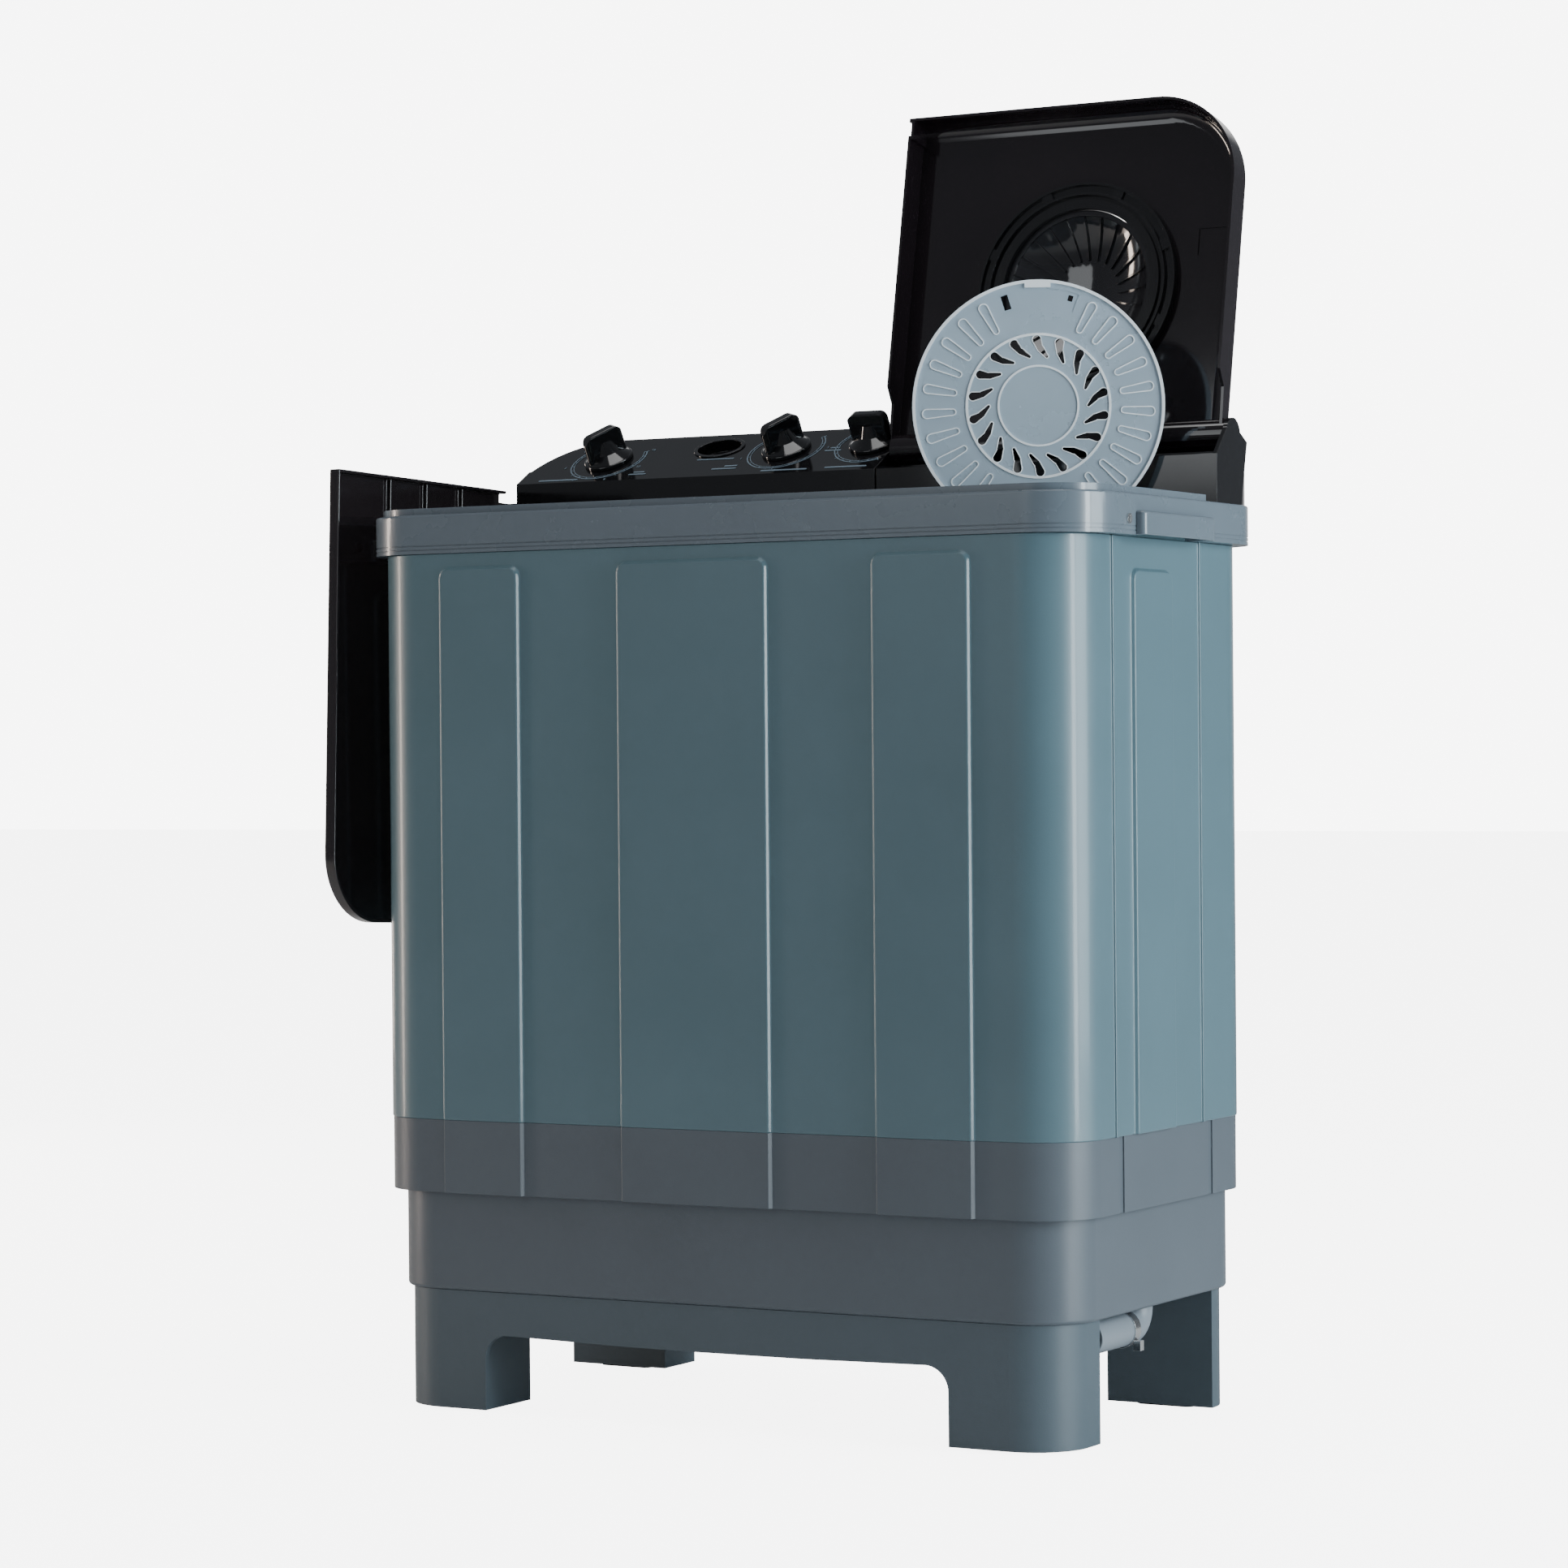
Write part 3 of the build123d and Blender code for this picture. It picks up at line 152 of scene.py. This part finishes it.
MATERIALS = {
    "teal_body": surface("teal satin plastic", (0.101, 0.172, 0.203), 0.33, grain=0.10, coat=0.2),
    "grey_trim": surface("blue-grey plastic", (0.135, 0.168, 0.198), 0.27, grain=0.10, coat=0.35),
    "grey_base": surface("grey plastic", (0.098, 0.118, 0.138), 0.38, grain=0.14),
    "slate_legs": surface("slate plastic", (0.080, 0.108, 0.128), 0.45, grain=0.16),
    "black_gloss": surface("black gloss plastic", (0.006, 0.006, 0.007), 0.10, coat=0.5,
                           smudge=0.04, vary=0.1),
    "black_smoked": surface("smoked black plastic", (0.010, 0.007, 0.009), 0.09, coat=0.5,
                            smudge=0.04, vary=0.1),
    "smoked_window": surface("smoked window", (0.016, 0.016, 0.019), 0.07, transmission=0.35,
                             coat=0.6, smudge=0.02),
    "frosted_disc": surface("frosted disc", (0.47, 0.58, 0.67), 0.28, transmission=0.20,
                            alpha=0.93, coat=0.25, grain=0.05),
    "white_tub": surface("white tub plastic", (0.62, 0.66, 0.66), 0.30, coat=0.2),
    "pale_grey": surface("pale grey plastic", (0.22, 0.25, 0.28), 0.42, grain=0.1),
    "dark_fittings": surface("dark fittings", (0.022, 0.022, 0.025), 0.5, grain=0.12),
    "zinc_sheet": surface("zinc sheet", (0.46, 0.48, 0.50), 0.38, metal=1.0, vary=0.12,
                          smudge=0.1, dust=0.5),
    "steel_bright": surface("bright steel", (0.62, 0.62, 0.62), 0.24, metal=1.0, vary=0.05,
                            smudge=0.08),
    "motor_case": surface("motor enamel", (0.03, 0.033, 0.036), 0.42, grain=0.1, dust=0.4),
    "rubber_black": surface("black rubber", (0.018, 0.018, 0.018), 0.75, grain=0.3,
                            grain_scale=500.0),
}
PRINT = surface("panel print", (0.22, 0.30, 0.37), 0.45, vary=0.02)
# Near-white plastic that paints a highlight on the disc's raised lines and slot outlines
DISC_EDGE_HIGHLIGHT = surface("frosted disc painted highlight", (0.92, 0.96, 0.98), 0.22, coat=0.4, vary=0.02)
WASH_LID = surface("smoked wash lid", (0.016, 0.012, 0.014), 0.10, coat=0.5, smudge=0.04,
                   alpha=0.985)
SLOT_OF = {s["node"]: s["material_slot"] for s in frame["record"]["subparts"]}
BODY_OF = {n: b for b, ns in frame["record"]["behaviour"]["bodies"].items() for n in ns}


# ---------- meshes ----------

EDGE_ANGLE = 32
EDGE_SEGMENTS = 3


def link_object(name, mesh):
    piece = bpy.data.objects.new(name, mesh)
    bpy.context.scene.collection.objects.link(piece)
    return piece


def smooth_by_angle(mesh, degrees):
    for polygon in mesh.polygons:
        polygon.use_smooth = True
    mesh.set_sharp_from_angle(angle=math.radians(degrees))


def refined(node, width, finish=None):
    """Copy of a CAD node with clean faces and rolled edges, which stands in for it."""
    mesh = NODES[node].data.copy()
    work = bmesh.new()
    work.from_mesh(mesh)
    bmesh.ops.remove_doubles(work, verts=work.verts, dist=1e-6)
    bmesh.ops.dissolve_limit(work, angle_limit=math.radians(0.6), verts=work.verts,
                             edges=work.edges)
    work.to_mesh(mesh)
    work.free()
    piece = link_object(node + "_look", mesh)
    piece.data.materials.clear()
    piece.data.materials.append(finish or MATERIALS[SLOT_OF[node]])
    smooth_by_angle(mesh, EDGE_ANGLE)
    bevel = piece.modifiers.new("rolled edges", "BEVEL")
    bevel.width = width
    bevel.segments = EDGE_SEGMENTS
    bevel.limit_method = "ANGLE"
    bevel.angle_limit = math.radians(EDGE_ANGLE)
    bevel.harden_normals = True
    bevel.miter_outer = "MITER_ARC"
    weighted = piece.modifiers.new("even shading", "WEIGHTED_NORMAL")
    weighted.keep_sharp = True
    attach(piece, BODY_OF[node])
    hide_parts(node)
    return piece


def disc_axes():
    """Middle of the safety disc and its axes: across, up and out of its front face."""
    low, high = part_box("safety_disc")
    turn = math.radians(DISC_TURN)
    across = Vector((math.cos(turn), math.sin(turn), 0))
    out = Vector((math.sin(turn), -math.cos(turn), 0))
    return (low + high) / 2, across, Vector((0, 0, 1)), out


def paint_ridge_highlights(piece):
    """Paints a highlight on the disc's raised lines: their faces get a near-white plastic that stands in for the
    light they catch.
    """
    middle, _, _, out = disc_axes()
    piece.data.materials.append(DISC_EDGE_HIGHLIGHT)
    for polygon in piece.data.polygons:
        # Faces that stand out in front of the plate get the painted highlight
        if (polygon.center - middle).dot(out) > PLATE_FRONT + 0.0002:
            polygon.material_index = 1


def slot_outlines(name):
    """Raised line round each swirl slot of the disc, in near-white plastic that paints a highlight along it."""
    middle, across, up, out = disc_axes()
    curve = bpy.data.curves.new(name, "CURVE")
    curve.dimensions = "3D"
    curve.bevel_depth = 0.0005
    curve.bevel_resolution = 2
    for k in range(SLOTS):
        turn = 2 * math.pi * k / SLOTS
        spline = curve.splines.new("POLY")
        points = slot_points()
        spline.points.add(len(points) - 1)
        for point, (x, y) in zip(spline.points, points):
            a = x * math.cos(turn) - y * math.sin(turn)
            b = x * math.sin(turn) + y * math.cos(turn)
            point.co = (*(middle + across * a + up * b + out * PLATE_FRONT), 1)
        spline.use_cyclic_u = True
    piece = link_object(name, curve)
    # The outline's near-white plastic is a painted highlight
    curve.materials.append(DISC_EDGE_HIGHLIGHT)
    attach(piece, "safety_disc")
    return piece


def slot_points():
    """Outline of the first swirl slot in the disc's plane: a round head and a bent tail."""
    lean, bend = math.radians(48), math.radians(-16)
    radii = (0.0018, 0.0035, 0.0047)
    along = Vector((math.cos(lean), math.sin(lean)))
    head = Vector((math.cos(lean + bend), math.sin(lean + bend)))
    start = Vector((SLOT_START, 0))
    elbow = start + along * 0.010
    end = elbow + head * 0.010
    points = []
    for centre, radius, facing, low, high in (
        (start, radii[0], along, 90, 270), (elbow, radii[1], along, 270, 290),
        (end, radii[2], head, -80, 90), (elbow, radii[1], head, 90, 100),
    ):
        base = math.atan2(facing.y, facing.x)
        for step in range(9):
            angle = base + math.radians(low + (high - low) * step / 8)
            points.append((centre.x + radius * math.cos(angle), centre.y + radius * math.sin(angle)))
    return points


def give_material(node):
    """A CAD node that is shown as it is, in its own finish."""
    mesh = NODES[node].data
    mesh.materials.clear()
    mesh.materials.append(MATERIALS[SLOT_OF[node]])


def on_slope(x, up, out=0.0):
    """Point on the panel's slope in the row frame."""
    return SLOPE_FOOT + SLOPE_X * x + SLOPE_UP * up + SLOPE_OUT * out


def slope_print(name, loops, lift=0.00018, thick=0.00025):
    """Thin printed marks on the slope from closed loops of (x, up) points."""
    work = bmesh.new()
    for loop in loops:
        base = [work.verts.new(on_slope(x, up, lift)) for x, up in loop]
        face = work.faces.new(base)
        made = bmesh.ops.extrude_face_region(work, geom=[face])
        moved = [v for v in made["geom"] if isinstance(v, bmesh.types.BMVert)]
        bmesh.ops.translate(work, verts=moved, vec=SLOPE_OUT * thick)
    bmesh.ops.recalc_face_normals(work, faces=work.faces)
    mesh = bpy.data.meshes.new(name)
    work.to_mesh(mesh)
    work.free()
    piece = link_object(name, mesh)
    piece.data.materials.append(PRINT)
    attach(piece, "base")
    return piece


def arc_band(cx, cy, inner, outer, start, end, steps=72):
    """Pieces of a ring between two angles in degrees, as quads."""
    quads = []
    for k in range(steps):
        a = math.radians(start + (end - start) * k / steps)
        b = math.radians(start + (end - start) * (k + 1) / steps)
        quads.append([
            (cx + inner * math.cos(a), cy + inner * math.sin(a)),
            (cx + outer * math.cos(a), cy + outer * math.sin(a)),
            (cx + outer * math.cos(b), cy + outer * math.sin(b)),
            (cx + inner * math.cos(b), cy + inner * math.sin(b)),
        ])
    return quads


def bar(x, up, length, height):
    """Rounded bar that stands for a line of print."""
    points = []
    radius = height / 2
    for k in range(9):
        angle = -math.pi / 2 + math.pi * k / 8
        points.append((x + length / 2 - radius + radius * math.cos(angle),
                       up + radius * math.sin(angle)))
    for k in range(9):
        angle = math.pi / 2 + math.pi * k / 8
        points.append((x - length / 2 + radius + radius * math.cos(angle),
                       up + radius * math.sin(angle)))
    return points


def dial_marks(name, joint, start, end, ticks):
    """Double ring with ticks round a dial."""
    place = Vector(JOINTS[joint]["pos_m"]) - SLOPE_FOOT
    x, up = place.x, place.dot(SLOPE_UP)
    loops = arc_band(x, up, 0.0395, 0.0402, start, end)
    loops += arc_band(x, up, 0.0425, 0.0437, start, end)
    for k in range(ticks):
        angle = math.radians(start + (end - start) * k / (ticks - 1))
        out = Vector((math.cos(angle), math.sin(angle)))
        side = Vector((-out.y, out.x)) * 0.0004
        a, b = out * 0.0395, out * (0.0458 if k % 5 == 0 else 0.0437)
        centre = Vector((x, up))
        loops.append([tuple(centre + a - side), tuple(centre + b - side),
                      tuple(centre + b + side), tuple(centre + a + side)])
    slope_print(name, loops)
    return x, up


def dial_number(name, text, x, up, size=0.006):
    """Small printed number on the slope."""
    curve = bpy.data.curves.new(name, "FONT")
    curve.body = text
    curve.size = size
    curve.align_x = "CENTER"
    curve.align_y = "CENTER"
    curve.extrude = 0.00012
    holder = link_object(name + "_curve", curve)
    bpy.context.view_layer.update()
    mesh = bpy.data.meshes.new_from_object(holder)
    bpy.data.objects.remove(holder)
    turn = Matrix((SLOPE_X, SLOPE_UP, SLOPE_OUT)).transposed().to_4x4()
    mesh.transform(Matrix.Translation(on_slope(x, up, 0.0004)) @ turn)
    piece = link_object(name, mesh)
    mesh.materials.clear()
    mesh.materials.append(PRINT)
    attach(piece, "base")
    return piece


# ---------- the object ----------

for node, width in (
    ("cabinet_shell", 0.0012), ("lower_skirt", 0.0012), ("base_tray", 0.0012),
    ("front_leg_frame", 0.0025), ("rear_leg_frame", 0.0025), ("top_collar", 0.0010),
    ("carry_handle_right", 0.0010), ("carry_handle_left", 0.0010),
    ("control_panel", 0.0012), ("hinge_housing", 0.0012), ("panel_back_cover", 0.0006),
    ("service_cover", 0.0006), ("wash_timer_knob", 0.0006), ("selector_knob", 0.0006),
    ("spin_timer_knob", 0.0006), ("water_inlet_cup", 0.0005),
    ("spin_lid", 0.0012), ("window_ring", 0.0009), ("window_dome", 0.0005),
    ("rubber_feet", 0.0008), ("drain_elbow", 0.0008),
    ("hose_clamp", 0.0004), ("wash_tub", 0.0012), ("pulsator", 0.0012),
    ("spin_basket", 0.0008), ("spin_outer_tub", 0.0010), ("lint_filter", 0.0006),
    ("collar_screws", 0.0004), ("cover_screws", 0.0003), ("pulsator_screw", 0.0004),
    ("drain_cover", 0.0004),
):
    refined(node, width)
# The disc's raised lines and slot outlines carry a painted highlight
paint_ridge_highlights(refined("safety_disc", 0.0004))
slot_outlines("slot_outlines")
refined("wash_lid", 0.0012, finish=WASH_LID)
for node, piece in NODES.items():
    if not piece.hide_render:
        give_material(node)

WASH_X, WASH_UP = dial_marks("wash_dial_print", "wash_timer_turn", 150, 385, 16)
PICK_X, PICK_UP = dial_marks("selector_dial_print", "selector_turn", 150, 400, 11)
SPIN_X, SPIN_UP = dial_marks("spin_dial_print", "spin_timer_turn", 150, 300, 11)
slope_print("label_bars", [
    bar(WASH_X - 0.042, 0.0055, 0.050, 0.0026),
    bar(WASH_X + 0.055, 0.012, 0.022, 0.0022),
    bar(WASH_X + 0.055, 0.017, 0.014, 0.0022),
    bar(PICK_X - 0.080, 0.040, 0.046, 0.0022),
    bar(PICK_X - 0.058, 0.016, 0.030, 0.0024),
    bar(PICK_X - 0.052, 0.022, 0.016, 0.0024),
    bar(PICK_X + 0.020, 0.0065, 0.056, 0.0026),
    bar(PICK_X + 0.060, 0.048, 0.020, 0.0024),
    bar(PICK_X + 0.060, 0.054, 0.012, 0.0024),
    bar(SPIN_X - 0.010, 0.0075, 0.050, 0.0026),
])
for k, text in enumerate(("0", "3", "6", "9", "12", "15")):
    angle = math.radians(150 + 235 * k / 5)
    dial_number("wash_number_" + text, text, WASH_X + 0.0505 * math.cos(angle),
                WASH_UP + 0.0495 * math.sin(angle), 0.0055)
for k, text in enumerate(("1", "2", "3")):
    angle = math.radians(200 + 160 * k / 2)
    dial_number("selector_number_" + text, text, PICK_X + 0.0505 * math.cos(angle),
                PICK_UP + 0.0495 * math.sin(angle), 0.0055)


# ---------- stage ----------

FLOOR_GLOW = 6.0
SKY_GLOW = 7.5
BEHIND = (-0.4965, 0.868, 0.0)

# Soft lights: name, place, aim, width and height, power, colour
LIGHTS = (
    ("side softbox", (3.9, 0.6, 1.3), (0.3, 0.0, 0.65), (1.4, 2.4), 110, (0.80, 0.93, 1.0)),
    ("right front strip", (4.0, -0.52, 0.9), (0.35, -0.1, 0.65), (0.5, 2.6), 110, (0.86, 0.95, 1)),
    ("left strip", (-3.9, -1.1, 0.9), (-0.4, -0.1, 0.6), (0.4, 2.2), 55, (1.0, 0.84, 0.72)),
    ("left rear strip", (-3.4, 1.7, 1.2), (-0.4, -0.1, 0.6), (0.5, 2.2), 26, (1.0, 0.86, 0.76)),
    ("front fill", (-1.2, -4.5, 2.2), (0.0, 0.0, 0.6), (2.0, 2.0), 26, (0.93, 0.97, 1.0)),
    ("top", (0.3, -0.4, 3.4), (0.1, 0.0, 0.9), (2.0, 1.2), 26, (1, 1, 1)),
)

CAMERA_AT = Vector((2.233296, -3.932340, 0.665800))
CAMERA_LENS = 101.195
CAMERA_YAW = -0.5195
CAMERA_PITCH = -0.0065
CAMERA_ROLL = -0.0085


def studio():
    """Pale floor and soft lights."""
    floor_mesh = bpy.data.meshes.new("floor")
    work = bmesh.new()
    bmesh.ops.create_grid(work, x_segments=1, y_segments=1, size=30)
    work.to_mesh(floor_mesh)
    work.free()
    floor = link_object("floor", floor_mesh)
    pale = surface("pale floor", (0.86, 0.86, 0.86), 0.6, vary=0.01)
    seen_directly(pale.node_tree, pale.node_tree.nodes["Principled BSDF"].inputs["Emission Strength"],
                  0.0, FLOOR_GLOW)
    pale.node_tree.nodes["Principled BSDF"].inputs["Emission Color"].default_value = (1, 1, 1, 1)
    floor.data.materials.append(pale)
    studio_world()
    for name, place, aim, size, power, color in LIGHTS:
        light = bpy.data.lights.new(name, "AREA")
        light.shape = "RECTANGLE"
        light.size, light.size_y = size
        light.energy = power
        light.color = color
        holder = bpy.data.objects.new(name, light)
        bpy.context.scene.collection.objects.link(holder)
        holder.location = place
        holder.rotation_mode = "QUATERNION"
        holder.rotation_quaternion = (Vector(aim) - Vector(place)).to_track_quat("-Z", "Y")


def seen_directly(tree, socket, value, direct_value):
    """Gives a socket of the stage one value for light and another where it is seen directly."""
    path = tree.nodes.new("ShaderNodeLightPath")
    level = tree.nodes.new("ShaderNodeMapRange")
    level.inputs["To Min"].default_value = value
    level.inputs["To Max"].default_value = direct_value
    tree.links.new(path.outputs["Is Camera Ray"], level.inputs["Value"])
    tree.links.new(level.outputs["Result"], socket)


def studio_world():
    """White behind the machine, and dim to the sides and front."""
    world = bpy.data.worlds.new("studio")
    bpy.context.scene.world = world
    world.use_nodes = True
    tree = world.node_tree
    background = tree.nodes["Background"]
    background.inputs["Strength"].default_value = 1.0
    coords = tree.nodes.new("ShaderNodeTexCoord")
    facing = tree.nodes.new("ShaderNodeVectorMath")
    facing.operation = "DOT_PRODUCT"
    facing.inputs[1].default_value = BEHIND
    tree.links.new(coords.outputs["Generated"], facing.inputs[0])
    ramp = tree.nodes.new("ShaderNodeValToRGB")
    ramp.color_ramp.interpolation = "EASE"
    ramp.color_ramp.elements[0].position = 0.80
    ramp.color_ramp.elements[0].color = (0.15, 0.16, 0.175, 1)
    ramp.color_ramp.elements[1].position = 0.93
    ramp.color_ramp.elements[1].color = (1.15, 1.15, 1.15, 1)
    tree.links.new(facing.outputs["Value"], ramp.inputs["Fac"])
    whiten = tree.nodes.new("ShaderNodeMix")
    whiten.data_type = "RGBA"
    whiten.inputs[7].default_value = (SKY_GLOW, SKY_GLOW, SKY_GLOW, 1)
    tree.links.new(ramp.outputs["Color"], whiten.inputs[6])
    seen_directly(tree, whiten.inputs[0], 0.0, 1.0)
    tree.links.new(whiten.outputs[2], background.inputs["Color"])


def camera():
    """Long lens from the front right, near the height of the dials."""
    data = bpy.data.cameras.new("camera")
    data.lens = CAMERA_LENS
    data.sensor_width = 36
    data.sensor_fit = "HORIZONTAL"
    data.clip_end = 100
    level = math.cos(CAMERA_PITCH)
    forward = Vector((math.sin(CAMERA_YAW) * level, math.cos(CAMERA_YAW) * level,
                      math.sin(CAMERA_PITCH)))
    right = Vector((math.cos(CAMERA_YAW), -math.sin(CAMERA_YAW), 0))
    up = right.cross(forward)
    rolled_right = right * math.cos(CAMERA_ROLL) + up * math.sin(CAMERA_ROLL)
    rolled_up = up * math.cos(CAMERA_ROLL) - right * math.sin(CAMERA_ROLL)
    turn = Matrix((rolled_right, rolled_up, -forward)).transposed().to_4x4()
    holder = bpy.data.objects.new("camera", data)
    bpy.context.scene.collection.objects.link(holder)
    holder.matrix_world = Matrix.Translation(CAMERA_AT) @ turn
    bpy.context.scene.camera = holder


studio()
camera()
